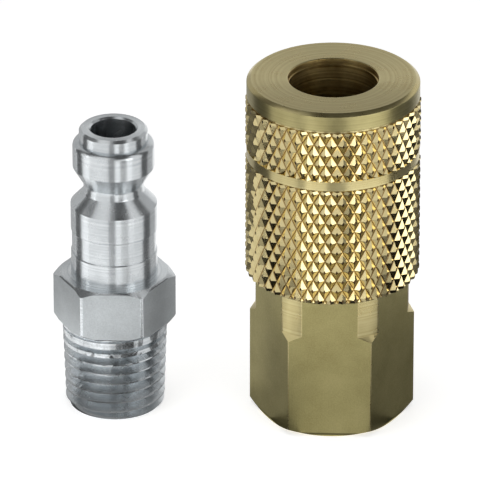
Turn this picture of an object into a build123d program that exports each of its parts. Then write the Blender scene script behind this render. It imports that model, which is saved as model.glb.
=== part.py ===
from build123d import *

import os
from math import ceil, cos, radians, sin, tan

# A quick coupling set for compressed air or coolant: a steel plug and a brass socket that locks
# on it with balls, both standing upright on their threaded ends. Millimetres, +Z up.
# The socket's heights are measured from its hex end, and the plug's from its thread end.

# Both pieces
axis_distance = 29.0
running_gap = 0.12  # radial, between the sleeve and what it slides on
screwed_gap = 0.05  # radial, between threads that are screwed together
pipe_taper = 1 / 32  # growth of a pipe thread's radius for each millimetre along it

# Plug
plug_length = 40.45
plug_hex_across_flats = 14.29
plug_hex_start = 12.25
plug_hex_end = 19.4
plug_hex_chamfer_angle = 36
plug_thread_radius = 6.62  # over the crests at the small end
plug_thread_chamfer = 0.6
plug_shank_radius = 5.75
plug_band_radius = 5.615
plug_band_start = 22.7
plug_band_end = 25.8
plug_shank_end = 29.5
plug_shank_chamfer = 0.1
plug_neck_radius = 4.01
plug_neck_start = 31.4
plug_neck_end = 32.5
plug_neck_fillet = 0.8
plug_flank_angle = 30  # from the axis, the slope that the balls press on
plug_nose_radius = 5.43
plug_nose_end = 38.6
plug_nose_fillet = 0.7
plug_tip_radius = 4.565
plug_tip_chamfer = 0.35
plug_thread_bore_radius = 3.7
plug_thread_bore_depth = 18.0
plug_thread_bore_chamfer = 1.2
plug_nose_bore_radius = 3.0

# Socket, outside
socket_hex_across_flats = 19.05
socket_hex_corner_radius = 10.95
socket_hex_length = 14.0
socket_hex_chamfer_angle = 30
adapter_overlap = 2.24  # how far the adapter reaches into the sleeve at rest
sleeve_hex_gap = 2.31  # left between the hexagon and the sleeve when it is pulled back
sleeve_length = 28.0
sleeve_wall = 0.8  # from the sleeve's widest bore to the bottom of its knurl
band_height = 0.31  # how far the turned bands stand out from the bottom of the knurl
sleeve_front_chamfer = 0.43
sleeve_front_chamfer_height = 0.29
sleeve_rear_chamfer = 0.35
lip_band_length = 2.5
middle_band_length = 1.4
rear_knurl_length = 16.49

# Knurl: two crossing sets of grooves, which leave four-sided points
knurl_count = 45
knurl_row = 1.41  # half the height of a point
knurl_depth = 0.46
knurl_turn = 2.6  # degrees from +X round to a point
knurl_offset = 0.5  # from the middle band down to the nearest row of points

# Adapter, the brass hex end with the female pipe thread
port_radius = 5.56
port_depth = 12.5
port_mouth_radius = 6.95
flow_hole_radius = 4.0
web_thickness = 2.0
gasket_thickness = 1.0

# Socket body
body_radius = 8.05
body_thread_step = 0.15  # how much wider the body is than the adapter's threaded counterbore
body_wall = 1.65  # round the valve's chamber
guide_bore_gap = 0.185  # radial, round the tip of a plug
guide_bore_length = 3.6
seal_section = 1.6
seal_gap = 0.02
seal_squeeze = 0.085  # radial, of the seal on the tip of a plug
seal_tip_gap = 0.09  # from the groove's rear face to the tip of a locked plug
entry_chamfer = 0.7

# Locking balls and the ring that stops the sleeve
ball_count = 4
ball_diameter = 3.175
ball_stand_out = 0.0375  # how far a locked ball reaches past the body
ball_front_wall = 0.85  # between the ball holes and the ring's groove
ball_hole_radius = 1.65
ball_seat_radius = 1.48
ball_seat_depth = 0.6  # from the middle of a ball in to its seat
ring_thickness = 1.0
ring_width = 1.6
ring_hold = 0.45  # how far the ring reaches into the body
ring_gap = 4.0
ring_groove_depth = 1.5
ring_groove_gap = 0.1
ring_front_wall = 0.6

# Sleeve, inside
sleeve_travel = 3.2
sleeve_travel_spare = 0.15
lip_length = 5.81
mouth_gap = 0.1  # radial, round the shank of a plug
mouth_chamfer = 0.2
land_overhang = 0.3  # how far the land reaches past the middle of the balls
land_length = 3.1
land_gap = 0.1225  # radial, between the land and the balls in their locked place
ramp_angle = 30
pocket_depth = 0.59
ring_room_gap = 0.2  # radial, round the ring
sleeve_mouth_chamfer = 0.3

# Springs
sleeve_spring_wire = 1.1
sleeve_spring_gap = 0.45  # radial, round the body
sleeve_spring_seat = 2.15  # width of the adapter's rim round the body
sleeve_spring_turns = 4.5
valve_spring_wire = 0.8
valve_spring_radius = 5.0
valve_spring_turns = 5

# Valve
valve_head_gap = 0.5  # radial, in the chamber
valve_head_thickness = 1.5
valve_washer_thickness = 1.1
valve_tube_radius = 4.3
valve_tube_bore_radius = 3.2
valve_travel = 2.5
valve_spigot_radius = 4.2
valve_spigot_length = 1.6
valve_window_width = 3.0
valve_window_height = 2.4
valve_window_gap = 0.3

# Radii of the socket, from the body and the plug outwards
body_thread_radius = body_radius - body_thread_step - screwed_gap
adapter_counterbore_radius = body_thread_radius + screwed_gap
adapter_turned_radius = body_radius + sleeve_spring_seat
sleeve_bore_radius = adapter_turned_radius + running_gap
knurl_root_radius = sleeve_bore_radius + sleeve_wall
knurl_crest_radius = knurl_root_radius + knurl_depth
sleeve_radius = knurl_root_radius + band_height
chamber_radius = body_radius - body_wall
guide_bore_radius = plug_tip_radius + guide_bore_gap
nose_bore_radius = plug_nose_radius + running_gap
mouth_radius = plug_shank_radius + mouth_gap
seal_orbit = plug_tip_radius - seal_squeeze + seal_section / 2
seal_groove_radius = seal_orbit + seal_section / 2 + seal_gap
valve_head_radius = chamber_radius - valve_head_gap
ball_orbit = body_radius + ball_stand_out - ball_diameter / 2
ball_seat_orbit = ball_orbit - ball_seat_depth
land_radius = ball_orbit + ball_diameter / 2 + land_gap
pocket_radius = land_radius + pocket_depth
ring_inner_radius = body_radius - ring_hold
ring_outer_radius = ring_inner_radius + ring_width
ring_groove_radius = body_radius - ring_groove_depth
ring_room_radius = ring_outer_radius + ring_room_gap
sleeve_spring_radius = body_radius + sleeve_spring_gap + sleeve_spring_wire / 2

# Both pieces' places: the middle of the pair's outline is at x = 0
plug_hex_radius = plug_hex_across_flats / 2
plug_hex_corner_radius = plug_hex_radius / cos(radians(30))
plug_x = (plug_hex_corner_radius - knurl_crest_radius - axis_distance) / 2
socket_x = plug_x + axis_distance
plug_axis = Axis((plug_x, 0, 0), (0, 0, 1))
socket_axis = Axis((socket_x, 0, 0), (0, 0, 1))
plug_section = Plane(origin=(plug_x, 0, 0), x_dir=(1, 0, 0), z_dir=(0, -1, 0))
socket_section = Plane(origin=(socket_x, 0, 0), x_dir=(1, 0, 0), z_dir=(0, -1, 0))
plug_base = Plane(origin=(plug_x, 0, 0))
socket_base = Plane(origin=(socket_x, 0, 0))

# Heights along the socket, from its hex end
neck_start = socket_hex_length + socket_hex_corner_radius - adapter_turned_radius
sleeve_rear = neck_start + sleeve_travel + sleeve_hex_gap
socket_length = sleeve_rear + sleeve_length
adapter_length = sleeve_rear + adapter_overlap
web_top = port_depth + web_thickness
body_rear = web_top + gasket_thickness
rear_knurl_start = sleeve_rear + sleeve_rear_chamfer
middle_band_start = rear_knurl_start + rear_knurl_length
middle_band_end = middle_band_start + middle_band_length
lip_band_start = socket_length - lip_band_length
lip_inner_face = socket_length - lip_length
body_front = lip_inner_face - sleeve_travel - sleeve_travel_spare
ring_top = body_front - ring_front_wall
ring_bottom = ring_top - ring_thickness
ring_groove_bottom = ring_bottom - ring_groove_gap
ball_height = ring_groove_bottom - ball_front_wall - ball_hole_radius

# The knurl's rows of points, one of them knurl_offset below the middle band
knurl_rows_down = ceil((rear_knurl_length - knurl_offset) / knurl_row)
knurl_rows_up = ceil((lip_band_start - middle_band_start + knurl_offset) / knurl_row)
knurl_bottom = middle_band_start - knurl_offset - knurl_row * knurl_rows_down
knurl_top = middle_band_start - knurl_offset + knurl_row * knurl_rows_up

# The plug when it is locked: the balls press on its flank, and its tip opens the valve
plug_flank_slope = tan(radians(plug_flank_angle))
plug_flank_end = plug_neck_end + (plug_nose_radius - plug_neck_radius) / plug_flank_slope
pressed_radius = ball_orbit - ball_diameter / 2 / cos(radians(plug_flank_angle))
pressed_height = plug_neck_end + (pressed_radius - plug_neck_radius) / plug_flank_slope
locked_tip_height = ball_height - (plug_length - pressed_height)
seal_groove_bottom = locked_tip_height - seal_tip_gap
seal_groove_top = seal_groove_bottom + seal_section + 2 * seal_gap
valve_seat_height = seal_groove_bottom - guide_bore_length
valve_washer_bottom = valve_seat_height - valve_washer_thickness
valve_head_bottom = valve_washer_bottom - valve_head_thickness
valve_tube_top = locked_tip_height + valve_travel

# Steps inside the sleeve
land_end = ball_height + land_overhang
shoulder_height = land_end - land_length
ramp_end = land_end + (pocket_radius - land_radius) / tan(radians(ramp_angle))


def rings(part, radius, height):
    """The round edges of a turned piece that have this radius and lie at this height."""
    circles = part.edges().filter_by(GeomType.CIRCLE)
    return circles.filter_by(lambda e: abs(e.radius - radius) < 1e-4 and abs(e.center().Z - height) < 1e-4)


def knurl_ring(row):
    """The corners round one row of the knurl: points and roots in turn, which swap in the next row."""
    height = knurl_bottom + knurl_row * row
    corners = []
    for step in range(2 * knurl_count):
        on_point = (step + row - knurl_rows_down) % 2 == 0
        radius = knurl_crest_radius if on_point else knurl_root_radius
        angle = radians(knurl_turn + step * 180 / knurl_count)
        corners.append(Vector(socket_x + radius * cos(angle), radius * sin(angle), height))
    return corners


def knurled_post():
    """A solid post with a knurled side: every point of the knurl has four flat faces."""
    levels = [knurl_ring(row) for row in range(knurl_rows_down + knurl_rows_up + 1)]
    faces = [Face(Wire.make_polygon(levels[0])), Face(Wire.make_polygon(levels[-1]))]
    for row, (low, high) in enumerate(zip(levels, levels[1:])):
        for step in range(2 * knurl_count):
            after = (step + 1) % (2 * knurl_count)
            if (step + row - knurl_rows_down) % 2 == 0:
                corners = [(low[step], low[after], high[step]), (high[after], high[step], low[after])]
            else:
                corners = [(low[after], high[after], low[step]), (high[step], low[step], high[after])]
            faces += [Face(Wire.make_polygon(three)) for three in corners]
    return Solid(Shell(faces))


# Plug: one piece of steel, turned from hex bar
plug_hex_chamfer = (plug_hex_corner_radius - plug_hex_radius) * tan(radians(plug_hex_chamfer_angle))
plug_bore_step = plug_thread_bore_radius - plug_nose_bore_radius
with BuildPart() as plug:
    with BuildSketch(plug_base.offset(plug_hex_start)):
        RegularPolygon(plug_hex_radius, 6, major_radius=False)
    extrude(amount=plug_hex_end - plug_hex_start)
    with BuildSketch(plug_section):
        with BuildLine():
            Polyline(
                (0, plug_hex_start),
                (plug_hex_radius, plug_hex_start),
                (plug_hex_corner_radius, plug_hex_start + plug_hex_chamfer),
                (plug_hex_corner_radius, plug_hex_end - plug_hex_chamfer),
                (plug_hex_radius, plug_hex_end),
                (0, plug_hex_end),
                close=True,
            )
        make_face()
    revolve(axis=plug_axis, mode=Mode.INTERSECT)
    with BuildSketch(plug_section):
        with BuildLine():
            Polyline(
                (0, 0),
                (plug_thread_radius, 0),
                (plug_thread_radius + pipe_taper * plug_hex_start, plug_hex_start),
                (plug_shank_radius, plug_hex_end),
                (plug_shank_radius, plug_band_start),
                (plug_band_radius, plug_band_start),
                (plug_band_radius, plug_band_end),
                (plug_shank_radius, plug_band_end),
                (plug_shank_radius, plug_shank_end),
                (plug_neck_radius, plug_neck_start),
                (plug_neck_radius, plug_neck_end),
                (plug_nose_radius, plug_flank_end),
                (plug_nose_radius, plug_nose_end),
                (plug_tip_radius, plug_nose_end),
                (plug_tip_radius, plug_length),
                (0, plug_length),
                close=True,
            )
        make_face()
    revolve(axis=plug_axis)
    chamfer(rings(plug, plug_thread_radius, 0), plug_thread_chamfer)
    chamfer(rings(plug, plug_shank_radius, plug_band_end), plug_shank_chamfer)
    chamfer(rings(plug, plug_shank_radius, plug_band_start), plug_shank_chamfer)
    chamfer(rings(plug, plug_tip_radius, plug_length), plug_tip_chamfer)
    fillet(rings(plug, plug_nose_radius, plug_nose_end), plug_nose_fillet)
    fillet(rings(plug, plug_neck_radius, plug_neck_start), plug_neck_fillet)
    fillet(rings(plug, plug_neck_radius, plug_neck_end), plug_neck_fillet)
    with BuildSketch(plug_section):
        with BuildLine():
            Polyline(
                (0, 0),
                (plug_thread_bore_radius + plug_thread_bore_chamfer, 0),
                (plug_thread_bore_radius, plug_thread_bore_chamfer),
                (plug_thread_bore_radius, plug_thread_bore_depth),
                (plug_nose_bore_radius, plug_thread_bore_depth + plug_bore_step),
                (plug_nose_bore_radius, plug_length),
                (0, plug_length),
                close=True,
            )
        make_face()
    revolve(axis=plug_axis, mode=Mode.SUBTRACT)
plug.part.label = "plug"

# Adapter: the brass hex end, whose flats run on through its turned neck into the sleeve
hex_radius = socket_hex_across_flats / 2
hex_chamfer = (socket_hex_corner_radius - hex_radius) * tan(radians(socket_hex_chamfer_angle))
with BuildPart() as adapter:
    with BuildSketch(socket_base):
        RegularPolygon(hex_radius, 6, major_radius=False)
    extrude(amount=adapter_length)
    with BuildSketch(socket_section):
        with BuildLine():
            Polyline(
                (0, 0),
                (hex_radius, 0),
                (socket_hex_corner_radius, hex_chamfer),
                (socket_hex_corner_radius, socket_hex_length),
                (adapter_turned_radius, neck_start),
                (adapter_turned_radius, adapter_length),
                (0, adapter_length),
                close=True,
            )
        make_face()
    revolve(axis=socket_axis, mode=Mode.INTERSECT)
    with BuildSketch(socket_section):
        with BuildLine():
            Polyline(
                (0, 0),
                (port_mouth_radius, 0),
                (port_radius, port_mouth_radius - port_radius),
                (port_radius, port_depth),
                (flow_hole_radius, port_depth),
                (flow_hole_radius, web_top),
                (adapter_counterbore_radius, web_top),
                (adapter_counterbore_radius, adapter_length),
                (0, adapter_length),
                close=True,
            )
        make_face()
    revolve(axis=socket_axis, mode=Mode.SUBTRACT)
adapter.part.label = "adapter"

# Gasket between the adapter's web and the body's rear end
with BuildPart() as body_gasket:
    with BuildSketch(socket_base.offset(web_top)):
        Circle(body_thread_radius)
        Circle(chamber_radius, mode=Mode.SUBTRACT)
    extrude(amount=gasket_thickness)
body_gasket.part.label = "body_gasket"

# Body: the brass tube that carries the valve seat, the nose seal and the balls
with BuildPart() as socket_body:
    with BuildSketch(socket_section):
        with BuildLine():
            Polyline(
                (chamber_radius, body_rear),
                (body_thread_radius, body_rear),
                (body_thread_radius, adapter_length),
                (body_radius, adapter_length),
                (body_radius, ring_groove_bottom),
                (ring_groove_radius, ring_groove_bottom),
                (ring_groove_radius, ring_top),
                (body_radius, ring_top),
                (body_radius, body_front),
                (nose_bore_radius + entry_chamfer, body_front),
                (nose_bore_radius, body_front - entry_chamfer),
                (nose_bore_radius, seal_groove_top),
                (seal_groove_radius, seal_groove_top),
                (seal_groove_radius, seal_groove_bottom),
                (guide_bore_radius, seal_groove_bottom),
                (guide_bore_radius, valve_seat_height),
                (chamber_radius, valve_seat_height),
                close=True,
            )
        make_face()
    revolve(axis=socket_axis)
    for number in range(ball_count):
        angle = radians(360 * number / ball_count)
        outward = Vector(cos(angle), sin(angle), 0)
        hole_start = Vector(socket_x, 0, ball_height) + outward * ball_seat_orbit
        with BuildSketch(Plane(origin=hole_start, z_dir=outward)):
            Circle(ball_hole_radius)
        extrude(amount=body_radius, mode=Mode.SUBTRACT)
        with BuildSketch(Plane(origin=hole_start, z_dir=-outward)):
            Circle(ball_seat_radius)
        extrude(amount=ball_seat_radius, mode=Mode.SUBTRACT)
socket_body.part.label = "socket_body"

# Nose seal: a round rubber ring that grips the plug's tip
with BuildPart() as nose_seal:
    with BuildSketch(socket_section):
        with Locations((seal_orbit, (seal_groove_bottom + seal_groove_top) / 2)):
            Circle(seal_section / 2)
    revolve(axis=socket_axis)
nose_seal.part.label = "nose_seal"

# Sleeve: the knurled brass slide, whose inner steps hold the balls in, let them out and stop on the ring
with BuildPart() as knurl:
    add(knurled_post())
    turned_away = (
        (knurl_bottom - knurl_row, rear_knurl_start),
        (middle_band_start, middle_band_end),
        (lip_band_start, knurl_top + knurl_row),
    )
    for bottom, top in turned_away:
        with BuildSketch(socket_base.offset(bottom)):
            Circle(2 * knurl_crest_radius)
        extrude(amount=top - bottom, mode=Mode.SUBTRACT)
with BuildPart() as sleeve:
    with BuildSketch(socket_section):
        with BuildLine():
            Polyline(
                (0, sleeve_rear),
                (knurl_root_radius - sleeve_rear_chamfer, sleeve_rear),
                (knurl_root_radius, rear_knurl_start),
                (0, rear_knurl_start),
                close=True,
            )
        make_face()
    revolve(axis=socket_axis)
    with BuildSketch(socket_base.offset(middle_band_start)):
        Circle(sleeve_radius)
    extrude(amount=middle_band_length)
    with BuildSketch(socket_base.offset(lip_band_start)):
        Circle(sleeve_radius)
    extrude(amount=lip_band_length)
    chamfer(
        rings(sleeve, sleeve_radius, socket_length),
        sleeve_front_chamfer_height,
        sleeve_front_chamfer,
        reference=sleeve.faces().sort_by(Axis.Z)[-1],
    )
    add(knurl.part)
    with BuildSketch(socket_section):
        with BuildLine():
            Polyline(
                (0, sleeve_rear),
                (sleeve_bore_radius + sleeve_mouth_chamfer, sleeve_rear),
                (sleeve_bore_radius, sleeve_rear + sleeve_mouth_chamfer),
                (sleeve_bore_radius, shoulder_height),
                (land_radius, shoulder_height),
                (land_radius, land_end),
                (pocket_radius, ramp_end),
                (pocket_radius, ring_bottom),
                (ring_room_radius, ring_bottom),
                (ring_room_radius, lip_inner_face),
                (mouth_radius, lip_inner_face),
                (mouth_radius, socket_length - mouth_chamfer),
                (mouth_radius + mouth_chamfer, socket_length),
                (0, socket_length),
                close=True,
            )
        make_face()
    revolve(axis=socket_axis, mode=Mode.SUBTRACT)
sleeve.part.label = "sleeve"

# Ring: an open steel ring that snaps into the body's groove and stops the sleeve
with BuildPart() as retaining_ring:
    with BuildSketch(socket_base.offset(ring_bottom)):
        Circle(ring_outer_radius)
        Circle(ring_inner_radius, mode=Mode.SUBTRACT)
        with Locations((0, ring_outer_radius)):
            Rectangle(ring_gap, 2 * ring_outer_radius, mode=Mode.SUBTRACT)
    extrude(amount=ring_thickness)
retaining_ring.part.label = "retaining_ring"


def coil_spring(x, bottom, top, radius, wire, turns):
    """A coil spring with flat ground ends between two seats."""
    with BuildPart() as spring:
        with BuildLine() as coil:
            Helix((top - bottom) / turns, top - bottom, radius, center=(x, 0, bottom))
        with BuildSketch(Plane(origin=coil.line @ 0, z_dir=coil.line % 0)):
            Circle(wire / 2)
        sweep(path=coil.line, is_frenet=True)
        with BuildSketch(Plane(origin=(x, 0, bottom))):
            Circle(radius + wire)
        extrude(amount=top - bottom, mode=Mode.INTERSECT)
    return spring


sleeve_spring = coil_spring(
    socket_x, adapter_length, shoulder_height, sleeve_spring_radius, sleeve_spring_wire, sleeve_spring_turns
)
sleeve_spring.part.label = "sleeve_spring"
valve_spring = coil_spring(
    socket_x, web_top, valve_head_bottom, valve_spring_radius, valve_spring_wire, valve_spring_turns
)
valve_spring.part.label = "valve_spring"

# Poppet: a brass head with a spigot in its spring and a windowed tube that the plug's tip pushes
with BuildPart() as valve_poppet:
    with BuildSketch(socket_section):
        with BuildLine():
            Polyline(
                (0, valve_head_bottom - valve_spigot_length),
                (valve_spigot_radius, valve_head_bottom - valve_spigot_length),
                (valve_spigot_radius, valve_head_bottom),
                (valve_head_radius, valve_head_bottom),
                (valve_head_radius, valve_washer_bottom),
                (valve_tube_radius, valve_washer_bottom),
                (valve_tube_radius, valve_tube_top),
                (valve_tube_bore_radius, valve_tube_top),
                (valve_tube_bore_radius, valve_washer_bottom),
                (0, valve_washer_bottom),
                close=True,
            )
        make_face()
    revolve(axis=socket_axis)
    window_middle = valve_seat_height + valve_window_gap + valve_window_height / 2
    for side in (Plane.XZ, Plane.YZ):
        with BuildSketch(Plane(origin=(socket_x, 0, window_middle), x_dir=side.x_dir, z_dir=side.z_dir)):
            Rectangle(valve_window_width, valve_window_height)
        extrude(amount=2 * valve_tube_radius, both=True, mode=Mode.SUBTRACT)
valve_poppet.part.label = "valve_poppet"

# Washer: the rubber ring that closes on the body's seat
with BuildPart() as valve_washer:
    with BuildSketch(socket_base.offset(valve_washer_bottom)):
        Circle(valve_head_radius)
        Circle(valve_tube_radius, mode=Mode.SUBTRACT)
    extrude(amount=valve_washer_thickness)
valve_washer.part.label = "valve_washer"

pieces = [
    plug,
    adapter,
    body_gasket,
    socket_body,
    nose_seal,
    sleeve,
    retaining_ring,
    sleeve_spring,
    valve_spring,
    valve_poppet,
    valve_washer,
]

# Locking balls, numbered round from +X
for number in range(ball_count):
    angle = radians(360 * number / ball_count)
    middle = (socket_x + ball_orbit * cos(angle), ball_orbit * sin(angle), ball_height)
    with BuildPart() as ball:
        with Locations(middle):
            Sphere(ball_diameter / 2)
    ball.part.label = f"locking_ball_{number + 1}"
    pieces.append(ball)

os.makedirs("parts", exist_ok=True)
for piece in pieces:
    export_step(piece.part, f"parts/{piece.part.label}.step")
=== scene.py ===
from math import atan2, cos, hypot, pi, radians, sin, tan

import bpy
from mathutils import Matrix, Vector


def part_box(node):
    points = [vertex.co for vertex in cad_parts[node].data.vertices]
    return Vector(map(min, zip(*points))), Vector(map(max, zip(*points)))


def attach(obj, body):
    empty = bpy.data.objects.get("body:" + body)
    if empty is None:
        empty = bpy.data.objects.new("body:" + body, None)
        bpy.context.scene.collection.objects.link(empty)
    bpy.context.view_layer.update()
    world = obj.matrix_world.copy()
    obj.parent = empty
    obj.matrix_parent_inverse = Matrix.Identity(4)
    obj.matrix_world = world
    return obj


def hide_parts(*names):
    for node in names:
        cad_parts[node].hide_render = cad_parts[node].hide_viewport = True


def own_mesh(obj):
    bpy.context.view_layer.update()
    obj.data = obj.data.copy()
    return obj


# A quick coupling set on a pale floor: a plated steel plug and a brass socket with a knurled sleeve.
# Sizes are in millimetres until they reach Blender, where everything is in metres.
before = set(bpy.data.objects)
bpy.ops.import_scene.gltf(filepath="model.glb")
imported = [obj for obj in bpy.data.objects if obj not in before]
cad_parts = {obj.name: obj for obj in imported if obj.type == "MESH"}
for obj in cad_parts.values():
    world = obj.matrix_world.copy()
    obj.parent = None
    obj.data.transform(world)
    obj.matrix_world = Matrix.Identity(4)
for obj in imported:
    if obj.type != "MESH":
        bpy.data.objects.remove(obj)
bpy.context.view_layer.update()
MM = 0.001


def node_box(name):
    """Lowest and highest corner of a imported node, in millimetres."""
    low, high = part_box(name)
    return low / MM, high / MM


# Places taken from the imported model
plug_low, plug_high = node_box("plug")
adapter_low, adapter_high = node_box("adapter")
sleeve_low, sleeve_high = node_box("sleeve")
plug_x = (plug_low.x + plug_high.x) / 2
socket_x = (adapter_low.x + adapter_high.x) / 2
sleeve_rear, sleeve_front = sleeve_low.z, sleeve_high.z

# How the shapes are made
past_end = 1  # how far a cutting shape reaches past the piece, and a united one into it
plug_steps, socket_steps, thread_steps = 128, 192, 72  # facets in one turn
same_point, same_knurl_point = 0.0005, 0.001  # points nearer than this are one
cut_tolerance = 0.00001  # the usual one is too coarse for pieces this small
level_tolerance = 0.0001  # an edge lies level at a height when both its ends are this near to it

# Plug, radii and heights from its thread end
plug_length = plug_high.z
plug_hex_across_flats = 14.29
plug_hex_start, plug_hex_end = 12.25, 19.4
plug_hex_chamfer_angle = 36
plug_hex_corner = 0.3  # rounding of its corners
plug_barrel_room, plug_barrel_draw = 0.01, 0.2  # of the shape that trims the hexagon's ends
plug_edge = 0.09
plug_thread_radius = 6.62
plug_thread_chamfer = 0.6
plug_run_out, plug_run_out_slope = 8.6, 0.35  # where the thread starts to fade, and how fast
plug_shank_radius = 5.75
plug_band_radius = 5.615
plug_band_start, plug_band_end = 22.7, 25.8
plug_shank_end = 29.5
plug_shank_chamfer = 0.1
plug_neck_radius = 4.01
plug_neck_start, plug_neck_end = 31.4, 32.5
plug_neck_rear_fillet, plug_neck_front_fillet = 0.48, 0.8
plug_flank_angle = 30
plug_nose_radius = 5.43
plug_nose_end = 38.6
plug_nose_fillet = 0.7
plug_tip_radius = 4.565
plug_tip_chamfer = 0.35
plug_thread_bore_radius = 3.7
plug_thread_bore_depth = 18.0
plug_thread_bore_chamfer = 1.2
plug_nose_bore_radius = 3.0
plug_nose_bore_chamfer = 0.25

# Pipe thread, 18 to the inch
pipe_pitch = 25.4 / 18
pipe_thread_depth = 0.8 * pipe_pitch
pipe_thread_flat = pipe_pitch / 16  # half of the flat on each crest and in each root
pipe_taper = 1 / 32
pipe_spare_turns = 3  # cut off at the ends

# Adapter
hex_across_flats = 19.05
hex_corner_radius = 10.95
hex_length = 14.0
hex_chamfer_angle = 30
hex_end_break, hex_end_rise, hex_end_draw = 0.05, 0.02, 0.4  # the soft edge under the chamfer
adapter_edge = 0.12
adapter_turned_radius = 10.2
adapter_length = adapter_high.z
port_radius = 5.56
port_depth = 12.5
port_mouth_radius = 6.95
port_thread_radius = 6.81
port_thread_length = 10.5
flow_hole_radius = 4.0
web_top = 14.5
counterbore_radius = 7.9

# Sleeve
band_radius = 11.43
front_chamfer, front_chamfer_height = 0.5, 0.4
front_edge = ((0, -0.06), (-0.02, -0.02), (-0.06, 0.03))  # the soft edge under the chamfer
front_rim = ((0.03, -0.05), (-0.05, 0))  # and the one over it
rear_chamfer = 0.35
lip_band_start = sleeve_front - 2.5
middle_band_start = sleeve_rear + rear_chamfer + 16.49
middle_band_end = middle_band_start + 1.4
band_groove, lip_groove = 0.12, 0.35  # left plain under each band
band_edge = 0.1
band_seat = 0.05  # how far the front knurl reaches into the middle band
running_radius = adapter_turned_radius + 0.12
sleeve_mouth_chamfer = 0.3
mouth_radius = 5.85
mouth_lead, mouth_lead_depth, mouth_lead_rise, mouth_rounding = 0.12, 0.9, 0.08, 0.18
lip_inner_face = sleeve_front - 5.81
ring_room_radius, pocket_radius, land_radius = 9.4, 8.8, 8.21
ring_bottom = node_box("retaining_ring")[0].z
shoulder_height = node_box("sleeve_spring")[1].z
land_length = 3.1
land_end = shoulder_height + land_length
ramp_slope = 1.732  # a ramp of 60 degrees
ramp_height = (pocket_radius - land_radius) * ramp_slope

# Knurl: four-sided points left between two crossing sets of grooves
knurl_count = 45
knurl_row = 1.41
knurl_crest_radius = 11.58
knurl_root_radius = 11.1
knurl_seat = 0.15  # how far the knurl reaches into the turned blank
knurl_land = 0.17  # the flat left on each point, as a share of the point's width
knurl_turn = 2.6  # degrees, where one point stands round the sleeve
knurl_level = 36.6  # and its height

# Springs: radius of the coil, wire, turns and travel
sleeve_coil_radius, sleeve_wire, sleeve_turns, sleeve_travel = 9.05, 1.1, 4.5, 3.2
valve_coil_radius, valve_wire, valve_turns, valve_travel = 5.0, 0.8, 5, 2.5
wire_sides, coil_steps = 12, 40

# Finishes: the widths of their patterns
handled_patch = 4
bar_streak, bar_streak_stretch = 0.45, 0.06
bar_pit, bar_pit_depth, bar_cloud = 0.18, 0.03, 5
knurl_stain, knurl_grain, knurl_grain_depth = 1.2, 0.15, 0.01
groove_brown_low, groove_brown_high = -0.01, 0.09  # above the bottom of the knurl, where the grooves' brown thins out
painted_tip_low, painted_tip_high = 0.03, 0.015  # below the tips, where the painted dark reflection on each tip starts
wire_stain, rubber_bloom = 0.8, 0.7
patch_range = {"From Min": 0.3, "From Max": 0.7}  # where one noise pattern mostly lies
sum_range = {"From Min": 0.7, "From Max": 1.3}  # and where the sum of two does
knurl_margin, bore_margin, band_margin = 0.05, 0.15, 0.08  # how far from its radius a finish starts or ends

# Camera, in degrees and millimetres
camera_side, camera_rise = 2.4, 26.5
camera_distance = 1000
camera_target = (0.567, 0, 24.17)
camera_lens, camera_film = 565, 36
camera_near, camera_far = 10, 10000

# Studio
floor_size, floor_drop, floor_tone, floor_glow = 4000, 0.02, 0.8, 0.6
room_light = 0.45
overhead_width, overhead_height, overhead_radiance = 120, 220, 2.0
# name, degrees round from the camera, distance, width, bottom, top, brightness
softboxes = (
    ("softbox_left", -50, 110, 110, 20, 90, 1.45),
    ("softbox_right", 48, 120, 90, 26, 90, 1.2),
)
# what it stands round, degrees round from the camera, distance, offset, width, bottom, top, brightness
upright_cards = (
    (socket_x, 4, 60, 0, 24, 0, 34, 0.25),
    (socket_x, 96, 60, 0, 52, 0, 48, 0.07),
    (socket_x, 128, 60, 0, 16, 0, 34, 0.4),
    (socket_x, -92.4, 14.6, 5, 6.5, 29, 60, 0.12),
    (socket_x, -92.4, 14.6, 5, 6.5, 0, 12, 0.12),
    (socket_x, -92.4, 14.6, -4, 11.5, 0, 60, 0.5),
    (socket_x, 180, 60, 0, 34, 78, 150, 0.38),
    (socket_x, 180, 60, 0, 28, 68, 78, 0.65),
    (plug_x, -4, 40, 0, 12, 0, 150, 0.32),
    (plug_x, -40, 40, 0, 42, 0, 150, 0.8),
    (plug_x, -102, 30, 0, 14, 0, 80, 0.12),
    (plug_x, -145, 30, 0, 28, 0, 80, 0.5),
    (plug_x, 87.6, 14, -1.5, 5.5, 0, 60, 0.12),
    (plug_x, 87.6, 14, -8.25, 8, 0, 60, 0.8),
    (plug_x, 87.6, 14, 6.5, 10.5, 0, 60, 0.5),
)
# what it lies round, degrees round from the camera, distance, width, length, height, brightness
level_cards = (
    (socket_x, 0, 0, 72, 72, 0.2, 0.14),
    (socket_x, -52, 66, 60, 56, 0.3, 1.5),
    (socket_x, 46, 66, 44, 56, 0.3, 1.15),
    (socket_x, -120, 26, 46, 46, 0.4, 0.27),
    (socket_x, 120, 26, 46, 46, 0.4, 0.15),
    (socket_x, 0, 23, 13, 36, 0.5, 0.6),
    (socket_x, -68, 30, 44, 44, 0.25, 0.01),
    (socket_x, 68, 32, 46, 46, 0.25, 0.01),
    (0, 0, 0, 460, 460, 170, 0.07),
)
oval_steps = 64


def select_only(piece):
    bpy.ops.object.select_all(action="DESELECT")
    piece.select_set(True)
    bpy.context.view_layer.objects.active = piece


def edit(piece, select="SELECT"):
    select_only(piece)
    bpy.ops.object.mode_set(mode="EDIT")
    bpy.ops.mesh.select_mode(type="VERT")
    bpy.ops.mesh.select_all(action=select)


def leave_edit():
    bpy.ops.object.mode_set(mode="OBJECT")


def apply_modifier(piece, kind, **settings):
    select_only(piece)
    modifier = piece.modifiers.new(kind.lower(), kind)
    for key, value in settings.items():
        setattr(modifier, key, value)
    bpy.ops.object.modifier_apply(modifier=modifier.name)


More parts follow.
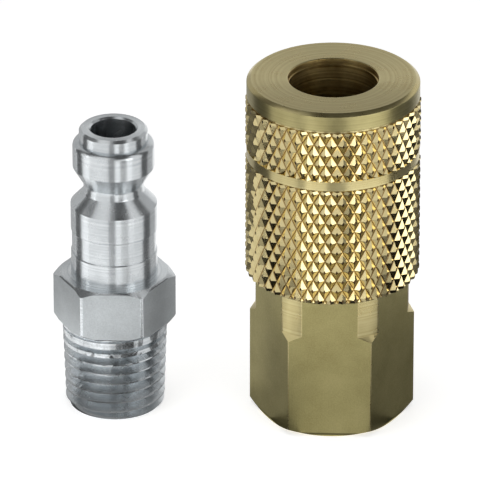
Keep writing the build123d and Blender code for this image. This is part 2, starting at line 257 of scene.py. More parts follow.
def combine(piece, tool, operation):
    """Unites, cuts or trims a piece with another, which is used up."""
    apply_modifier(piece, "BOOLEAN", operation=operation, object=tool, solver="EXACT")
    bpy.data.objects.remove(tool)


def merge_and_face_outwards(piece):
    edit(piece)
    bpy.ops.mesh.remove_doubles(threshold=same_point * MM)
    bpy.ops.mesh.normals_make_consistent(inside=False)
    leave_edit()


def trim(piece, bottom, top):
    """Cuts a piece off level at both heights and closes it there."""
    for height, keep_above in ((bottom, True), (top, False)):
        edit(piece)
        bpy.ops.mesh.bisect(
            plane_co=(0, 0, height * MM), plane_no=(0, 0, 1), use_fill=True,
            clear_inner=keep_above, clear_outer=not keep_above, threshold=cut_tolerance * MM,
        )
        leave_edit()


def start_line(name, points, x=0):
    """A line through (radius, height) points beside the axis at x, still in edit mode."""
    bpy.ops.object.select_all(action="DESELECT")
    bpy.ops.mesh.primitive_plane_add(size=MM, location=(0, 0, 0))
    piece = bpy.context.object
    piece.name = piece.data.name = name
    bpy.ops.object.mode_set(mode="EDIT")
    bpy.ops.mesh.select_mode(type="VERT")
    bpy.ops.mesh.merge(type="CENTER")
    radius, height = points[0]
    bpy.ops.transform.translate(value=((x + radius) * MM, 0, height * MM))
    for after_radius, after_height in points[1:]:
        step = ((after_radius - radius) * MM, 0, (after_height - height) * MM)
        bpy.ops.mesh.extrude_vertices_move(TRANSFORM_OT_translate={"value": step})
        radius, height = after_radius, after_height
    return piece


def turned(name, x, outline, steps=plug_steps):
    """A turned piece: an outline of (radius, height) points, spun once round its axis."""
    solid_post = outline[0][0] == 0 and outline[-1][0] == 0
    piece = start_line(name, outline if solid_post else outline + outline[:1], x)
    bpy.ops.mesh.select_all(action="SELECT")
    bpy.ops.mesh.spin(steps=steps, angle=2 * pi, center=(x * MM, 0, 0), axis=(0, 0, 1))
    leave_edit()
    merge_and_face_outwards(piece)
    return piece


def rounded_corner(before, corner, after, size, steps=5):
    """The points of a corner rounded with this radius, between the points before and after it."""
    corner, before, after = Vector(corner), Vector(before), Vector(after)
    back, on = (before - corner).normalized(), (after - corner).normalized()
    half = back.angle(on) / 2
    reach = size * cos(half) / sin(half)
    middle = corner + (back + on).normalized() * (size / sin(half))
    first, last = corner + back * reach - middle, corner + on * reach - middle
    turn = atan2(first.x * last.y - first.y * last.x, first.dot(last))
    points = []
    for step in range(steps + 1):
        angle = turn * step / steps
        spoke = Vector((
            first.x * cos(angle) - first.y * sin(angle),
            first.x * sin(angle) + first.y * cos(angle),
        ))
        points.append(tuple(middle + spoke))
    return points


def hexagon(name, x, across_flats, bottom, top):
    """A hexagonal bar with two of its flats facing the front and the back."""
    bpy.ops.object.select_all(action="DESELECT")
    corner = across_flats / 2 / cos(radians(30)) * MM
    middle = (x * MM, 0, (bottom + top) / 2 * MM)
    bpy.ops.mesh.primitive_cylinder_add(
        vertices=6, radius=corner, depth=(top - bottom) * MM, location=middle, rotation=(0, 0, radians(30))
    )
    bar = bpy.context.object
    bar.name = bar.data.name = name
    bpy.ops.object.transform_apply(location=True, rotation=True, scale=True)
    return bar


def threaded_rod(name, x, crest_radius, taper, bottom, top, run_out=None):
    """A rod with a V thread that grows by its taper. Past run_out it swells, so that the thread fades."""
    half_pitch = pipe_pitch / 2
    root_radius = crest_radius - pipe_thread_depth
    start = bottom - pipe_pitch
    ridge = [
        (root_radius, start - half_pitch),
        (root_radius, start - half_pitch + pipe_thread_flat),
        (crest_radius, start - pipe_thread_flat),
        (crest_radius, start + pipe_thread_flat),
        (root_radius, start + half_pitch - pipe_thread_flat),
        (root_radius, start + half_pitch),
    ]
    rod = start_line(name, ridge)
    leave_edit()
    turns = round((top - bottom) / pipe_pitch) + pipe_spare_turns
    apply_modifier(
        rod, "SCREW", axis="Z", angle=2 * pi, screw_offset=pipe_pitch * MM, iterations=turns,
        steps=thread_steps, render_steps=thread_steps, use_merge_vertices=True,
        merge_threshold=same_point * MM,
    )
    merge_and_face_outwards(rod)
    trim(rod, bottom, top)
    for vertex in rod.data.vertices:
        height = vertex.co.z / MM
        growth = taper * height
        if run_out is not None and height > run_out:
            growth += (height - run_out) * plug_run_out_slope
        scale = 1 + growth / crest_radius
        vertex.co.x = vertex.co.x * scale + x * MM
        vertex.co.y *= scale
    merge_and_face_outwards(rod)
    return rod


def bevel(piece, width, angle, segments=2):
    apply_modifier(
        piece, "BEVEL", width=width * MM, segments=segments, limit_method="ANGLE",
        angle_limit=radians(angle), use_clamp_overlap=True, miter_outer="MITER_ARC",
    )


def smooth(piece, angle):
    """Smooth shading that leaves large flat faces flat right up to their rounded edges."""
    select_only(piece)
    bpy.ops.object.shade_smooth_by_angle(angle=radians(angle))
    apply_modifier(piece, "WEIGHTED_NORMAL", mode="FACE_AREA", keep_sharp=True)


def linear(colour):
    """An sRGB hex colour as linear red, green, blue and alpha."""
    parts = [int(colour[at:at + 2], 16) / 255 for at in (1, 3, 5)]
    return [part / 12.92 if part <= 0.04045 else ((part + 0.055) / 1.055) ** 2.4 for part in parts] + [1]


def add_node(material, kind, links=None, values=None, **settings):
    """Adds a node to a material, with its settings, its plain values and its links from other outputs."""
    node = material.node_tree.nodes.new(kind)
    for key, value in settings.items():
        setattr(node, key, value)
    for key, value in (values or {}).items():
        node.inputs[key].default_value = value
    for key, source in (links or {}).items():
        material.node_tree.links.new(source, node.inputs[key])
    return node


def new_material(name):
    material = bpy.data.materials.new(name)
    material.use_nodes = True
    material.node_tree.nodes.clear()
    return material


def finish_material(material, shader):
    output = add_node(material, "ShaderNodeOutputMaterial")
    material.node_tree.links.new(shader, output.inputs["Surface"])
    return material


def around_axis(material, x):
    """Where a point lies on a piece turned round the axis at x: its offset from the axis, its distance
    from it, and the direction of the tool marks there."""
    place = add_node(material, "ShaderNodeTexCoord")
    centred = add_node(
        material, "ShaderNodeMapping", {"Vector": place.outputs["Object"]}, {"Location": (-x * MM, 0, 0)}
    )
    flat = add_node(
        material, "ShaderNodeVectorMath", {0: centred.outputs["Vector"]}, {1: (1, 1, 0)}, operation="MULTIPLY"
    )
    distance = add_node(material, "ShaderNodeVectorMath", {0: flat.outputs["Vector"]}, operation="LENGTH")
    marks = add_node(
        material, "ShaderNodeVectorMath", {1: flat.outputs["Vector"]}, {0: (0, 0, 1)},
        operation="CROSS_PRODUCT",
    )
    marks = add_node(material, "ShaderNodeVectorMath", {0: marks.outputs["Vector"]}, operation="NORMALIZE")
    return centred.outputs["Vector"], distance.outputs["Value"], marks.outputs["Vector"]


def tool_marks(material, offset, distance, spacing):
    """Fine rings left by the turning tool, on sides and faces alike: a pattern along radius plus height."""
    height = add_node(material, "ShaderNodeSeparateXYZ", {"Vector": offset})
    along = add_node(material, "ShaderNodeMath", {0: distance, 1: height.outputs["Z"]}, operation="ADD")
    return add_node(
        material, "ShaderNodeTexNoise", {"W": along.outputs["Value"]},
        {"Scale": 1 / (spacing * MM), "Detail": 3.0, "Roughness": 0.6}, noise_dimensions="1D",
    ).outputs["Fac"]


def turned_metal(name, x, light, dark, roughness, marks_spacing, marks_depth, anisotropic):
    """Metal turned on a lathe: highlights stretch across its fine rings, and handling dulls it in patches."""
    material = new_material(name)
    offset, distance, marks = around_axis(material, x)
    rings = tool_marks(material, offset, distance, marks_spacing)
    patches = add_node(
        material, "ShaderNodeTexNoise", {"Vector": offset},
        {"Scale": 1 / (handled_patch * MM), "Detail": 5.0, "Roughness": 0.6},
    )
    mixed = add_node(material, "ShaderNodeMath", {0: patches.outputs["Fac"], 1: rings}, operation="ADD")
    tone = add_node(material, "ShaderNodeMapRange", {"Value": mixed.outputs["Value"]}, sum_range)
    colour = add_node(
        material, "ShaderNodeMix", {"Factor": tone.outputs["Result"]},
        {"A": linear(dark), "B": linear(light)}, data_type="RGBA",
    )
    bump = add_node(
        material, "ShaderNodeBump", {"Height": rings}, {"Strength": 1.0, "Distance": marks_depth * MM}
    )
    rough = add_node(
        material, "ShaderNodeMapRange", {"Value": patches.outputs["Fac"]},
        {**patch_range, "To Min": roughness - 0.04, "To Max": roughness + 0.06},
    )
    shader = add_node(
        material, "ShaderNodeBsdfPrincipled",
        {
            "Base Color": colour.outputs["Result"],
            "Roughness": rough.outputs["Result"],
            "Normal": bump.outputs["Normal"],
            "Tangent": marks,
        },
        {"Metallic": 1.0, "Anisotropic": anisotropic, "Anisotropic Rotation": 0.25},
    )
    return finish_material(material, shader.outputs["BSDF"])


def drawn_metal(name, x, light, dark, roughness, metallic):
    """Hexagonal bar as it left the drawing die: dull, with faint streaks along its length and tiny pits."""
    material = new_material(name)
    offset, _, _ = around_axis(material, x)
    stretched = add_node(
        material, "ShaderNodeMapping", {"Vector": offset}, {"Scale": (1, 1, bar_streak_stretch)}
    )
    streaks = add_node(
        material, "ShaderNodeTexNoise", {"Vector": stretched.outputs["Vector"]},
        {"Scale": 1 / (bar_streak * MM), "Detail": 4.0, "Roughness": 0.65},
    )
    pits = add_node(
        material, "ShaderNodeTexNoise", {"Vector": offset},
        {"Scale": 1 / (bar_pit * MM), "Detail": 2.0, "Roughness": 0.7},
    )
    clouds = add_node(
        material, "ShaderNodeTexNoise", {"Vector": offset},
        {"Scale": 1 / (bar_cloud * MM), "Detail": 4.0, "Roughness": 0.6},
    )
    mixed = add_node(
        material, "ShaderNodeMath", {0: pits.outputs["Fac"], 1: clouds.outputs["Fac"]}, operation="ADD"
    )
    tone = add_node(material, "ShaderNodeMapRange", {"Value": mixed.outputs["Value"]}, sum_range)
    colour = add_node(
        material, "ShaderNodeMix", {"Factor": tone.outputs["Result"]},
        {"A": linear(dark), "B": linear(light)}, data_type="RGBA",
    )
    height = add_node(
        material, "ShaderNodeMath", {0: pits.outputs["Fac"], 1: streaks.outputs["Fac"]}, operation="ADD"
    )
    bump = add_node(
        material, "ShaderNodeBump", {"Height": height.outputs["Value"]},
        {"Strength": 0.6, "Distance": bar_pit_depth * MM},
    )
    shader = add_node(
        material, "ShaderNodeBsdfPrincipled",
        {"Base Color": colour.outputs["Result"], "Normal": bump.outputs["Normal"]},
        {"Metallic": metallic, "Roughness": roughness},
    )
    return finish_material(material, shader.outputs["BSDF"])


def knurled_metal(name, x, light, dark, groove_brown, painted_tip_reflection, roughness):
    """Rolled knurl: burnished slopes, browner grooves, and a dark reflection painted on each tip."""
    material = new_material(name)
    offset, distance, _ = around_axis(material, x)
    depth = add_node(
        material, "ShaderNodeMapRange", {"Value": distance},
        {
            "From Min": (knurl_root_radius + groove_brown_low) * MM,
            "From Max": (knurl_root_radius + groove_brown_high) * MM,
        },
    )
    # The flat on each tip gets a painted dark reflection
    tip = add_node(
        material, "ShaderNodeMapRange", {"Value": distance},
        {
            "From Min": (knurl_crest_radius - painted_tip_low) * MM,
            "From Max": (knurl_crest_radius - painted_tip_high) * MM,
        },
    )
    patches = add_node(
        material, "ShaderNodeTexNoise", {"Vector": offset},
        {"Scale": 1 / (knurl_stain * MM), "Detail": 4.0, "Roughness": 0.6},
    )
    slopes = add_node(
        material, "ShaderNodeMix", {"Factor": patches.outputs["Fac"]},
        {"A": linear(dark), "B": linear(light)}, data_type="RGBA",
    )
    groove_browned = add_node(
        material, "ShaderNodeMix", {"Factor": depth.outputs["Result"], "B": slopes.outputs["Result"]},
        {"A": linear(groove_brown)}, data_type="RGBA",
    )
    colour = add_node(
        material, "ShaderNodeMix", {"Factor": tip.outputs["Result"], "A": groove_browned.outputs["Result"]},
        {"B": linear(painted_tip_reflection)}, data_type="RGBA",
    )
    grain = add_node(
        material, "ShaderNodeTexNoise", {"Vector": offset}, {"Scale": 1 / (knurl_grain * MM), "Detail": 2.0}
    )
    bump = add_node(
        material, "ShaderNodeBump", {"Height": grain.outputs["Fac"]},
        {"Strength": 0.3, "Distance": knurl_grain_depth * MM},
    )
    shader = add_node(
        material, "ShaderNodeBsdfPrincipled",
        {"Base Color": colour.outputs["Result"], "Normal": bump.outputs["Normal"]},
        {"Metallic": 1.0, "Roughness": roughness},
    )
    return finish_material(material, shader.outputs["BSDF"])


def stained(name, light, dark, patch, values):
    """A small piece's plain finish: its colour changes a little in patches, as handling leaves it."""
    material = new_material(name)
    place = add_node(material, "ShaderNodeTexCoord")
    patches = add_node(
        material, "ShaderNodeTexNoise", {"Vector": place.outputs["Object"]},
        {"Scale": 1 / (patch * MM), "Detail": 4.0},
    )
    colour = add_node(
        material, "ShaderNodeMix", {"Factor": patches.outputs["Fac"]},
        {"A": linear(dark), "B": linear(light)}, data_type="RGBA",
    )
    shader = add_node(material, "ShaderNodeBsdfPrincipled", {"Base Color": colour.outputs["Result"]}, values)
    return finish_material(material, shader.outputs["BSDF"])


# Yellow brass turned on a lathe: bright bands with soft stretched highlights. Real tool marks are about
# 0.1 mm apart, too fine to show, so those of all the turned finishes are drawn three to four times as coarse.
turned_brass = turned_metal(
    "turned_brass", socket_x, light="#D8CC98", dark="#BFAF7A", roughness=0.28, marks_spacing=0.35,
    marks_depth=0.004, anisotropic=0.75,
)
# The same brass, dulled by fingers and painted darker as shade: an even satin lip with faint rings on its
# face
shaded_lip_brass = turned_metal(
    "shaded_satin_turned_brass", socket_x, light="#B8AE7C", dark="#9A9062", roughness=0.36, marks_spacing=0.3,
    marks_depth=0.006, anisotropic=0.6,
)
# Bored brass, painted browner and darker as shade, with rings deep enough to be seen in the dark mouth
shaded_bore_brass = turned_metal(
    "shaded_bored_brass", socket_x, light="#D0BA80", dark="#8A6E38", roughness=0.32, marks_spacing=0.4,
    marks_depth=0.04, anisotropic=0.75,
)
# Hexagonal brass bar as drawn: a dull olive tone without sharp reflections. Its pits and streaks are drawn
# a few times as coarse as the real ones, which would be too fine to show.
drawn_brass = drawn_metal(
    "drawn_brass", socket_x, light="#BCB27C", dark="#A49A66", roughness=0.4, metallic=0.95
)
# Rolled brass knurl: each slope flashes bright or goes dark, with brown lines between the points
# Its tips are painted with a dark reflection
knurled_brass = knurled_metal(
    "knurled_brass", socket_x, light="#EEDFAC", dark="#D2C086", groove_brown="#86602C", painted_tip_reflection="#54422A",
    roughness=0.15,
)
# Zinc-plated turned steel: upright light and dark stripes, crossed by fine rings
turned_steel = turned_metal(
    "plated_turned_steel", plug_x, light="#E3E7E9", dark="#CBD0D3", roughness=0.24, marks_spacing=0.35,
    marks_depth=0.004, anisotropic=0.75,
)
# Zinc-plated drawn bar: flat grey faces with a fine grain
drawn_steel = drawn_metal(
    "plated_drawn_steel", plug_x, light="#D2D7D9", dark="#B9BEC0", roughness=0.38, metallic=0.95
)
# Drawn spring steel: dark grey wire with a soft shine
spring_steel = stained(
    "drawn_spring_steel", "#8C8C8A", "#6C6C6A", wire_stain, {"Metallic": 1.0, "Roughness": 0.3}
)
# Ground and polished steel balls: near mirrors
ball_steel = stained(
    "ground_ball_steel", "#C4C4C2", "#B2B2B0", wire_stain, {"Metallic": 1.0, "Roughness": 0.08}
)
# Moulded nitrile rubber: near black, with a faint dull bloom
seal_rubber = stained("moulded_nitrile", "#2A2A29", "#101010", rubber_bloom, {"Roughness": 0.55, "IOR": 1.52})


def give(piece, *materials):
    piece.data.materials.clear()
    for material in materials:
        piece.data.materials.append(material)


def faces_on_flats(piece, x, across_flats, slot_number):
    """Gives the flats of a hexagon their own material."""
    upright, on_flat = 0.01, 0.02
    for face in piece.data.polygons:
        centre = face.center / MM
        normal = face.normal
        along = (centre.x - x) * normal.x + centre.y * normal.y
        if abs(normal.z) < upright and abs(along - across_flats / 2) < on_flat:
            face.material_index = slot_number


def make_plug():
    """The plug: shank, nose and hexagon, with the pipe thread on its lower end and a bore right through."""
    hex_radius = plug_hex_across_flats / 2
    corner = hex_radius / cos(radians(30))
    chamfer_height = (corner - hex_radius) * tan(radians(plug_hex_chamfer_angle))
    flank_end = plug_neck_end + (plug_nose_radius - plug_neck_radius) / tan(radians(plug_flank_angle))
    plug = hexagon("threaded_plug", plug_x, plug_hex_across_flats, plug_hex_start, plug_hex_end)
    bevel(plug, plug_hex_corner, angle=50, segments=3)
    barrel = turned("plug_barrel", plug_x, [
        (0, plug_hex_start - past_end),
        (hex_radius - plug_barrel_draw, plug_hex_start - past_end),
        (hex_radius, plug_hex_start),
        (corner + plug_barrel_room, plug_hex_start + chamfer_height),
        (corner + plug_barrel_room, plug_hex_end - chamfer_height),
        (hex_radius, plug_hex_end),
        (hex_radius - plug_barrel_draw, plug_hex_end + past_end),
        (0, plug_hex_end + past_end),
    ])
    combine(plug, barrel, "INTERSECT")
    shank_end = (plug_shank_radius, plug_shank_end)
    neck_start, neck_end = (plug_neck_radius, plug_neck_start), (plug_neck_radius, plug_neck_end)
    nose_start, nose_end = (plug_nose_radius, flank_end), (plug_nose_radius, plug_nose_end)
    tip_start = (plug_tip_radius, plug_nose_end)
    shank = turned("plug_shank", plug_x, [
        (0, plug_hex_end - 2 * past_end),
        (plug_shank_radius, plug_hex_end - 2 * past_end),
        (plug_shank_radius, plug_band_start - plug_shank_chamfer),
        (plug_shank_radius - plug_shank_chamfer, plug_band_start),
        (plug_band_radius, plug_band_start),
        (plug_band_radius, plug_band_end),
        (plug_shank_radius - plug_shank_chamfer, plug_band_end),
        (plug_shank_radius, plug_band_end + plug_shank_chamfer),
        shank_end,
        *rounded_corner(shank_end, neck_start, neck_end, plug_neck_rear_fillet),
        *rounded_corner(neck_start, neck_end, nose_start, plug_neck_front_fillet),
        nose_start,
        *rounded_corner(nose_start, nose_end, tip_start, plug_nose_fillet),
        tip_start,
        (plug_tip_radius, plug_length - plug_tip_chamfer),
        (plug_tip_radius - plug_tip_chamfer, plug_length),
        (0, plug_length),
    ])
    combine(plug, shank, "UNION")
    end_radius = plug_thread_radius + pipe_taper * plug_hex_start
    blank = turned("plug_thread", plug_x, [
        (0, 0),
        (plug_thread_radius - plug_thread_chamfer, 0),
        (plug_thread_radius, plug_thread_chamfer),
        (end_radius, plug_hex_start),
        (end_radius, plug_hex_start + past_end),
        (0, plug_hex_start + past_end),
    ])
    rod = threaded_rod(
        "plug_rod", plug_x, plug_thread_radius, pipe_taper, -past_end, plug_hex_start + 2 * past_end,
        run_out=plug_run_out,
    )
    combine(blank, rod, "INTERSECT")
    combine(plug, blank, "UNION")
    step = plug_thread_bore_radius - plug_nose_bore_radius
    thread_mouth_radius = plug_thread_bore_radius + plug_thread_bore_chamfer
    nose_mouth_radius = plug_nose_bore_radius + 2 * plug_nose_bore_chamfer
    bore = turned("plug_bore", plug_x, [
        (0, -past_end),
        (thread_mouth_radius, -past_end),
        (thread_mouth_radius, 0),
        (plug_thread_bore_radius, plug_thread_bore_chamfer),
        (plug_thread_bore_radius, plug_thread_bore_depth),
        (plug_nose_bore_radius, plug_thread_bore_depth + step),
        (plug_nose_bore_radius, plug_length - plug_nose_bore_chamfer),
        (nose_mouth_radius, plug_length + plug_nose_bore_chamfer),
        (nose_mouth_radius, plug_length + past_end),
        (0, plug_length + past_end),
    ])
    combine(plug, bore, "DIFFERENCE")
    bevel(plug, plug_edge, angle=28)
    smooth(plug, angle=32)
    give(plug, turned_steel, drawn_steel)
    faces_on_flats(plug, plug_x, plug_hex_across_flats, 1)
    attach(plug, "housing")
    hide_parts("plug")


def make_adapter():
    """The adapter: hexagonal bar whose corners are turned away above the hexagon, with a tapped port."""
    hex_radius = hex_across_flats / 2
    rise = (hex_corner_radius - hex_radius) * tan(radians(hex_chamfer_angle))
    neck = hex_length + hex_corner_radius - adapter_turned_radius
    top = adapter_length + past_end
    adapter = hexagon("hex_adapter", socket_x, hex_across_flats, 0, adapter_length)
    envelope = turned("adapter_envelope", socket_x, [
        (0, -past_end),
        (hex_radius - hex_end_draw, -past_end),
        (hex_radius - hex_end_break, 0),
        (hex_radius, hex_end_rise),
        (hex_corner_radius, rise),
        (hex_corner_radius, hex_length),
        (adapter_turned_radius, neck),
        (adapter_turned_radius, top),
        (0, top),
    ], socket_steps)
    combine(adapter, envelope, "INTERSECT")
    rod = threaded_rod("port_rod", socket_x, port_thread_radius, -pipe_taper, -past_end, port_thread_length)
    combine(adapter, rod, "DIFFERENCE")
    port = turned("adapter_port", socket_x, [
        (0, -past_end),
        (port_mouth_radius, -past_end),
        (port_mouth_radius, 0),
        (port_radius, port_mouth_radius - port_radius),
        (port_radius, port_depth),
        (flow_hole_radius, port_depth),
        (flow_hole_radius, web_top),
        (counterbore_radius, web_top),
        (counterbore_radius, top),
        (0, top),
    ])
    combine(adapter, port, "DIFFERENCE")
    bevel(adapter, adapter_edge, angle=25)
    smooth(adapter, angle=30)
    give(adapter, turned_brass, drawn_brass)
    faces_on_flats(adapter, socket_x, hex_across_flats, 1)
    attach(adapter, "housing")
    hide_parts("adapter")


def knurled_post(name, bottom, top):
    """A solid post with a knurled side: one point is modelled flat, repeated, trimmed and bent round."""
    width = 2 * pi * knurl_crest_radius / knurl_count
    depth = knurl_crest_radius - knurl_root_radius
    length = knurl_count * width
    bpy.ops.object.select_all(action="DESELECT")
    bpy.ops.mesh.primitive_circle_add(
        vertices=4, radius=MM, fill_type="NOTHING", location=(0, 0, 0), rotation=(radians(90), 0, 0)
    )
    post = bpy.context.object
    post.name = post.data.name = name
    bpy.ops.object.transform_apply(location=True, rotation=True, scale=True)
    edit(post)
    bpy.ops.transform.resize(value=(width / 2, 1, knurl_row))
    bpy.ops.transform.translate(value=(0, depth * MM, 0))
    bpy.ops.mesh.extrude_region_move(TRANSFORM_OT_translate={"value": (0, -depth * MM, 0)})
    bpy.ops.transform.resize(value=(knurl_land, 1, knurl_land))
    bpy.ops.mesh.edge_face_add()
    leave_edit()
    twin = post.copy()
    twin.data = post.data.copy()
    bpy.context.collection.objects.link(twin)
    # The points lie in two lattices, the second half a point across and one row up
    turn = (knurl_turn + 90) / 360 * length
    pair = 2 * knurl_row
    for lattice, shift, lift in ((post, 0, 0), (twin, width / 2, knurl_row)):
        first_across = turn + shift - width * (int((turn + shift + length / 2) / width) + 1)
        first_level = knurl_level + lift - pair * (int((knurl_level - bottom) / pair) + 2)
        levels = int((top - first_level) / pair) + 2
        edit(lattice)
        bpy.ops.transform.translate(value=(first_across * MM, 0, first_level * MM))
        leave_edit()
        for count, step in ((knurl_count + 2, (width * MM, 0, 0)), (levels, (0, 0, pair * MM))):
            apply_modifier(
                lattice, "ARRAY", count=count, use_relative_offset=False, use_constant_offset=True,
                constant_offset_displace=step,
            )
    select_only(post)
    twin.select_set(True)
    bpy.ops.object.join()
    edit(post)
    bpy.ops.mesh.remove_doubles(threshold=same_knurl_point * MM)
    cuts = (
        ((-length / 2 * MM, 0, 0), (1, 0, 0), True),
        ((length / 2 * MM, 0, 0), (1, 0, 0), False),
        ((0, 0, bottom * MM), (0, 0, 1), True),
        ((0, 0, top * MM), (0, 0, 1), False),
    )
    for place, direction, inner in cuts:
        bpy.ops.mesh.select_all(action="SELECT")
        bpy.ops.mesh.bisect(
            plane_co=place, plane_no=direction, clear_inner=inner, clear_outer=not inner,
            threshold=cut_tolerance * MM,
        )
    leave_edit()
    apply_modifier(post, "SIMPLE_DEFORM", deform_method="BEND", deform_axis="Z", angle=2 * pi)
    edit(post)
    bpy.ops.mesh.remove_doubles(threshold=same_knurl_point * MM)
    bpy.ops.transform.translate(value=(socket_x * MM, -knurl_crest_radius * MM, 0))
    leave_edit()
    for level in (bottom, top):
        edit(post, "DESELECT")
        bpy.ops.mesh.select_mode(type="EDGE")
        leave_edit()
        for edge in post.data.edges:
            ends = [post.data.vertices[number].co.z for number in edge.vertices]
            edge.select = all(abs(end - level * MM) < level_tolerance * MM for end in ends)
        bpy.ops.object.mode_set(mode="EDIT")
        bpy.ops.mesh.edge_face_add()
        leave_edit()
    merge_and_face_outwards(post)
    return post


def make_sleeve():
    """The sleeve: a turned blank with two knurled bands, bored out in steps."""
    core = knurl_root_radius - knurl_seat
    chamfer_start = sleeve_front - front_chamfer_height
    sleeve = turned("knurled_sleeve", socket_x, [
        (0, sleeve_rear),
        (knurl_root_radius - rear_chamfer, sleeve_rear),
        (core, sleeve_rear + rear_chamfer),
        (core, middle_band_start - band_groove),
        (knurl_root_radius, middle_band_start - band_groove),
        (knurl_root_radius, middle_band_start),
        (band_radius - band_edge, middle_band_start),
        (band_radius, middle_band_start + band_edge),
        (band_radius, middle_band_end),
        (core, middle_band_end),
        (core, lip_band_start - lip_groove),
        (knurl_root_radius, lip_band_start - lip_groove),
        (knurl_root_radius, lip_band_start),
        (band_radius - band_edge, lip_band_start),
        (band_radius, lip_band_start + band_edge),
        *[(band_radius + across, chamfer_start + up) for across, up in front_edge],
        *[(band_radius - front_chamfer + across, sleeve_front + up) for across, up in front_rim],
        (0, sleeve_front),
    ], socket_steps)
    for name, bottom, top in (
        ("rear_knurl", sleeve_rear + rear_chamfer, middle_band_start - band_groove),
        ("front_knurl", middle_band_end - band_seat, lip_band_start - lip_groove),
    ):
        combine(sleeve, knurled_post(name, bottom, top), "UNION")
    lead_radius = mouth_radius + mouth_lead
    lead_start = sleeve_front - mouth_lead_depth
    bore = turned("sleeve_bore", socket_x, [
        (0, sleeve_rear - past_end),
        (running_radius + sleeve_mouth_chamfer, sleeve_rear - past_end),
        (running_radius + sleeve_mouth_chamfer, sleeve_rear),
        (running_radius, sleeve_rear + sleeve_mouth_chamfer),
        (running_radius, shoulder_height),
        (land_radius, shoulder_height),
        (land_radius, land_end),
        (pocket_radius, land_end + ramp_height),
        (pocket_radius, ring_bottom),
        (ring_room_radius, ring_bottom),
        (ring_room_radius, lip_inner_face),
        (mouth_radius, lip_inner_face),
        (mouth_radius, lead_start),
        (lead_radius, lead_start + mouth_lead_rise),
        *rounded_corner(
            (lead_radius, lip_inner_face), (lead_radius, sleeve_front), (band_radius, sleeve_front),
            mouth_rounding,
        ),
        (lead_radius + mouth_rounding, sleeve_front + past_end),
        (0, sleeve_front + past_end),
    ], socket_steps)
    combine(sleeve, bore, "DIFFERENCE")
    smooth(sleeve, angle=30)
    give(sleeve, turned_brass, knurled_brass, shaded_bore_brass, shaded_lip_brass)
    for face in sleeve.data.polygons:
        height = face.center.z / MM
        radius = hypot(face.center.x / MM - socket_x, face.center.y / MM)
        on_middle_band = middle_band_start - band_groove < height < middle_band_end
        on_lip = height > lip_band_start - lip_groove
        if height > lip_band_start and radius > band_radius - band_margin:
            finish = 3
        elif radius > core + knurl_margin and not on_lip and not on_middle_band:
            finish = 1
        elif radius < mouth_radius + bore_margin:
            finish = 2
        else:
            finish = 0
        face.material_index = finish
    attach(sleeve, "sleeve")
    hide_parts("sleeve")


def make_spring(name, node, coil_radius, wire, turns):
    """A coil spring with ground ends, as long as the imported spring that it stands in for."""
    low, high = node_box(node)
    length = high.z - low.z
    bpy.ops.object.select_all(action="DESELECT")
    bpy.ops.mesh.primitive_circle_add(
        vertices=wire_sides, radius=wire / 2 * MM, fill_type="NOTHING", rotation=(radians(90), 0, 0),
        location=(coil_radius * MM, 0, low.z * MM),
    )
    spring = bpy.context.object
    spring.name = spring.data.name = name
    bpy.ops.object.transform_apply(location=True, rotation=True, scale=True)
    steps = round(coil_steps * turns)
    apply_modifier(
        spring, "SCREW", axis="Z", angle=2 * pi * turns, screw_offset=length * MM, steps=steps,
        render_steps=steps,
    )
    edit(spring)
    bpy.ops.mesh.fill_holes(sides=0)
    leave_edit()
    trim(spring, low.z, high.z)
    edit(spring)
    bpy.ops.transform.translate(value=(socket_x * MM, 0, 0))
    leave_edit()
    merge_and_face_outwards(spring)
    smooth(spring, angle=40)
    give(spring, spring_steel)
    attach(spring, "housing")
    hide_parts(node)
    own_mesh(spring)


def make_rest():
    """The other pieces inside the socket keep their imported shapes."""
    finishes = {
        "socket_body": turned_brass, "valve_poppet": shaded_bore_brass, "retaining_ring": spring_steel,
        "nose_seal": seal_rubber, "valve_washer": seal_rubber, "body_gasket": seal_rubber,
    }
    for number in range(1, 5):
        finishes[f"locking_ball_{number}"] = ball_steel
    for name, material in finishes.items():
        give(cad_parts[name], material)


def seen_rays(material):
    """1 for what is seen, straight, mirrored or through glass, and 0 for light that falls on the pieces."""
    path = add_node(material, "ShaderNodeLightPath")
    seen = path.outputs["Is Camera Ray"]
    for kind in ("Is Glossy Ray", "Is Transmission Ray"):
        either = add_node(material, "ShaderNodeMath", {0: seen, 1: path.outputs[kind]}, operation="MAXIMUM")
        seen = either.outputs["Value"]
    return seen


def make_floor():
    """A pale floor that takes the pieces' soft shadows and is white wherever it is seen."""
    bpy.ops.object.select_all(action="DESELECT")
    bpy.ops.mesh.primitive_plane_add(size=floor_size * MM, location=(0, 0, -floor_drop * MM))
    floor = bpy.context.object
    floor.name = "floor"
    paper = new_material("pale_paper")
    glow = add_node(paper, "ShaderNodeMath", {0: seen_rays(paper)}, {1: floor_glow}, operation="MULTIPLY")
    diffuse = add_node(
        paper, "ShaderNodeBsdfDiffuse", values={"Color": (floor_tone, floor_tone, floor_tone, 1)}
    )
    emission = add_node(paper, "ShaderNodeEmission", {"Strength": glow.outputs["Value"]})
    both = add_node(
        paper, "ShaderNodeAddShader", {0: diffuse.outputs["BSDF"], 1: emission.outputs["Emission"]}
    )
    finish_material(paper, both.outputs["Shader"])
    give(floor, paper)


def make_room():
    """A room that is white wherever it is seen and lights the pieces more softly than that."""
    room = bpy.data.worlds.new("studio")
    bpy.context.scene.world = room
    room.use_nodes = True
    room.node_tree.nodes.clear()
    level = add_node(
        room, "ShaderNodeMapRange", {"Value": seen_rays(room)}, {"To Min": room_light, "To Max": 1.0}
    )
    sky = add_node(room, "ShaderNodeBackground", {"Strength": level.outputs["Result"]})
    output = add_node(room, "ShaderNodeOutputWorld")
    room.node_tree.links.new(sky.outputs["Background"], output.inputs["Surface"])


def from_camera(degrees):
    """An angle counted round from the camera, as an angle from +X."""
    return radians(degrees + camera_side - 90)


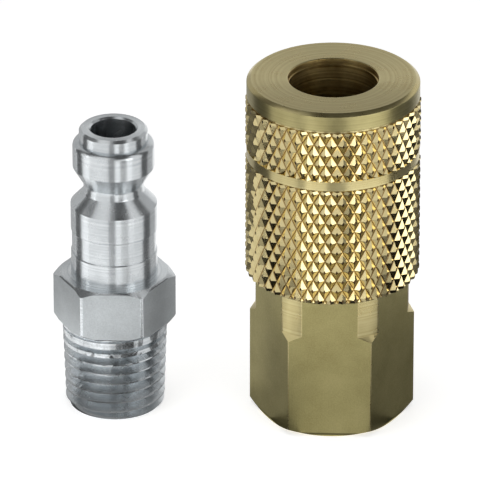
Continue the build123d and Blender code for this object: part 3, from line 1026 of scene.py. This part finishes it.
def add_lamp(name, middle, turn, width, height, radiance):
    """A rectangular lamp that mirrors with this brightness. The camera doesn't see it."""
    data = bpy.data.lights.new(name, "AREA")
    data.shape = "RECTANGLE"
    data.size, data.size_y = width * MM, height * MM
    data.energy = 4 * radiance * data.size * data.size_y  # a lamp glows with a quarter of energy over area
    lamp = bpy.data.objects.new(name, data)
    bpy.context.collection.objects.link(lamp)
    lamp.location = Vector(middle) * MM
    lamp.rotation_euler = turn
    lamp.visible_camera = False
    return lamp


def make_lamps():
    """Two upright softboxes in front, and one overhead that only lights and isn't mirrored."""
    for name, side, distance, width, bottom, top, radiance in softboxes:
        angle = from_camera(side)
        middle = (distance * cos(angle), distance * sin(angle), (bottom + top) / 2)
        turn = (radians(90), 0, angle + radians(90))
        add_lamp(name, middle, turn, width, top - bottom, radiance)
    above = (0, 0, overhead_height)
    overhead = add_lamp("overhead", above, (0, 0, 0), overhead_width, overhead_width, overhead_radiance)
    overhead.visible_glossy = False


def add_card(name, middle, size, turn, tone, oval):
    """A card of one tone, oval or rectangular, that only the metal mirrors."""
    paint = new_material(name)
    glow = add_node(paint, "ShaderNodeEmission", values={"Color": (tone, tone, tone, 1)})
    finish_material(paint, glow.outputs["Emission"])
    bpy.ops.object.select_all(action="DESELECT")
    if oval:
        bpy.ops.mesh.primitive_circle_add(vertices=oval_steps, radius=MM / 2, fill_type="NGON")
    else:
        bpy.ops.mesh.primitive_plane_add(size=MM)
    card = bpy.context.object
    card.name = name
    card.scale = (size[0], size[1], 1)
    card.location = Vector(middle) * MM
    card.rotation_euler = turn
    give(card, paint)
    card.visible_camera = card.visible_diffuse = card.visible_shadow = False


def make_cards():
    """Upright rectangular cards and level oval ones, which give the metal its light and dark stripes."""
    for number, (x, side, distance, offset, width, bottom, top, tone) in enumerate(upright_cards, 1):
        angle = from_camera(side)
        across = x + distance * cos(angle) - offset * sin(angle)
        along = distance * sin(angle) + offset * cos(angle)
        middle = (across, along, (bottom + top) / 2)
        turn = (radians(90), 0, angle + radians(90))
        add_card(f"upright_card_{number}", middle, (width, top - bottom), turn, tone, oval=False)
    for number, (x, side, distance, width, length, height, tone) in enumerate(level_cards, 1):
        angle = from_camera(side)
        middle = (x + distance * cos(angle), distance * sin(angle), height)
        turn = (0, 0, angle + radians(90))
        add_card(f"level_card_{number}", middle, (width, length), turn, tone, oval=True)


def make_camera():
    """The camera looks at the middle of the set from where the photograph was taken."""
    data = bpy.data.cameras.new("camera")
    data.lens = camera_lens
    data.sensor_width = camera_film
    data.clip_start, data.clip_end = camera_near * MM, camera_far * MM
    camera = bpy.data.objects.new("camera", data)
    bpy.context.collection.objects.link(camera)
    side, rise = radians(camera_side), radians(camera_rise)
    back = Vector((sin(side) * cos(rise), -cos(side) * cos(rise), sin(rise)))
    camera.location = (Vector(camera_target) + back * camera_distance) * MM
    camera.rotation_euler = (-back).to_track_quat("-Z", "Y").to_euler()
    bpy.context.scene.camera = camera


make_plug()
make_adapter()
make_sleeve()
make_spring(
    "sleeve_coil", "sleeve_spring", sleeve_coil_radius, sleeve_wire, sleeve_turns,
)
make_spring(
    "valve_coil", "valve_spring", valve_coil_radius, valve_wire, valve_turns,
)
make_rest()
make_floor()
make_room()
make_lamps()
make_cards()
make_camera()
bpy.context.scene.view_settings.view_transform = "Standard"
